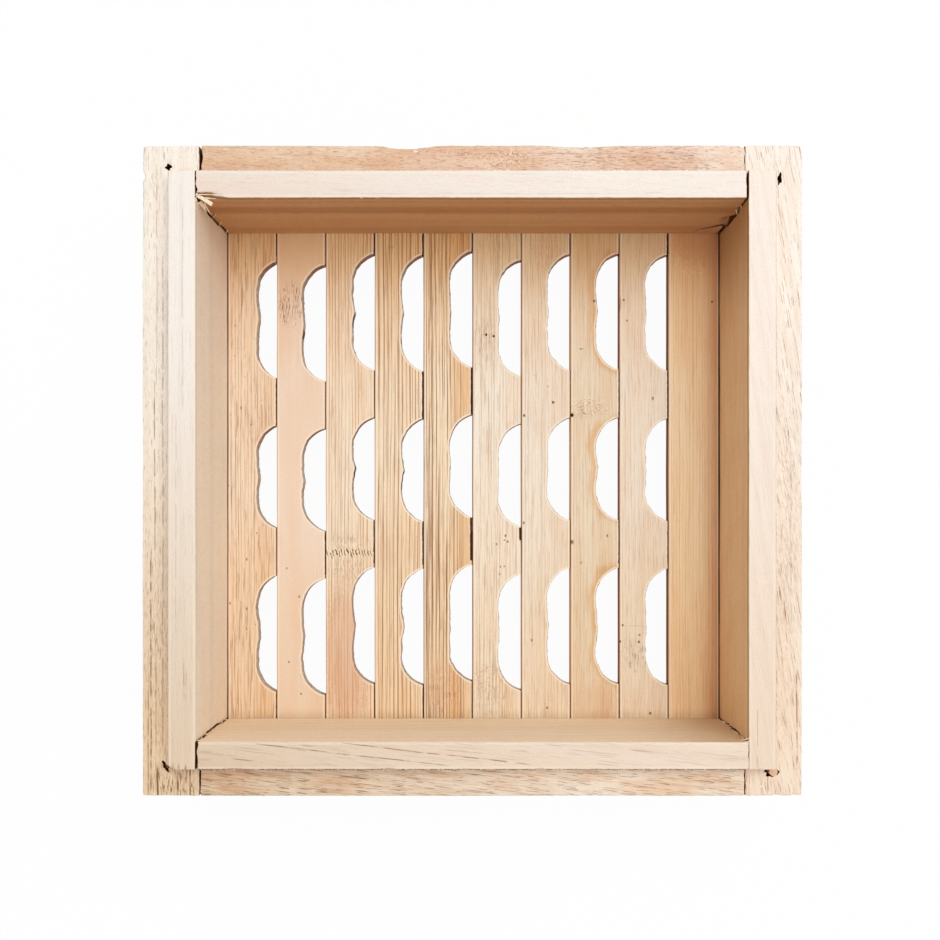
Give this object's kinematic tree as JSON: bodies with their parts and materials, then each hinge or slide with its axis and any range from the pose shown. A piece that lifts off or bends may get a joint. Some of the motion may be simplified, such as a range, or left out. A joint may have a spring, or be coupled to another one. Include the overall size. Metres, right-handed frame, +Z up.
{
  "type": "steamer basket",
  "caption": "Square wooden steamer basket: finger-jointed boards with a raised stacking lip, around a floor of bamboo slats with D-shaped steam cuts.",
  "frame": {"origin": "on the surface the basket stands on, under the middle of the basket", "axes": "+Z up, +Y towards the back board, +X towards the right board, along which the slats lie side by side"},
  "size_m": [0.24, 0.2366, 0.072],
  "materials": {
    "board_wood": "bare planed softwood, pale cream, fine straight grain",
    "slat_bamboo": "bare bamboo strips, peach to orange tan, fine fibre lines",
    "bar_wood": "bare sawn softwood",
    "pin_bamboo": "cut bamboo pin, end grain showing"
  },
  "bodies": {
    "root": {"left_board": "board_wood", "right_board": "board_wood", "back_board": "board_wood", "front_board": "board_wood", "slat_01": "slat_bamboo", "slat_02": "slat_bamboo", "slat_03": "slat_bamboo", "slat_04": "slat_bamboo", "slat_05": "slat_bamboo", "slat_06": "slat_bamboo", "slat_07": "slat_bamboo", "slat_08": "slat_bamboo", "slat_09": "slat_bamboo", "slat_10": "slat_bamboo", "crossbar_back": "bar_wood", "crossbar_front": "bar_wood", "corner_pin_back_left": "pin_bamboo", "corner_pin_back_right": "pin_bamboo", "corner_pin_front_right": "pin_bamboo", "corner_pin_front_left": "pin_bamboo"}
  },
  "joints": []
}
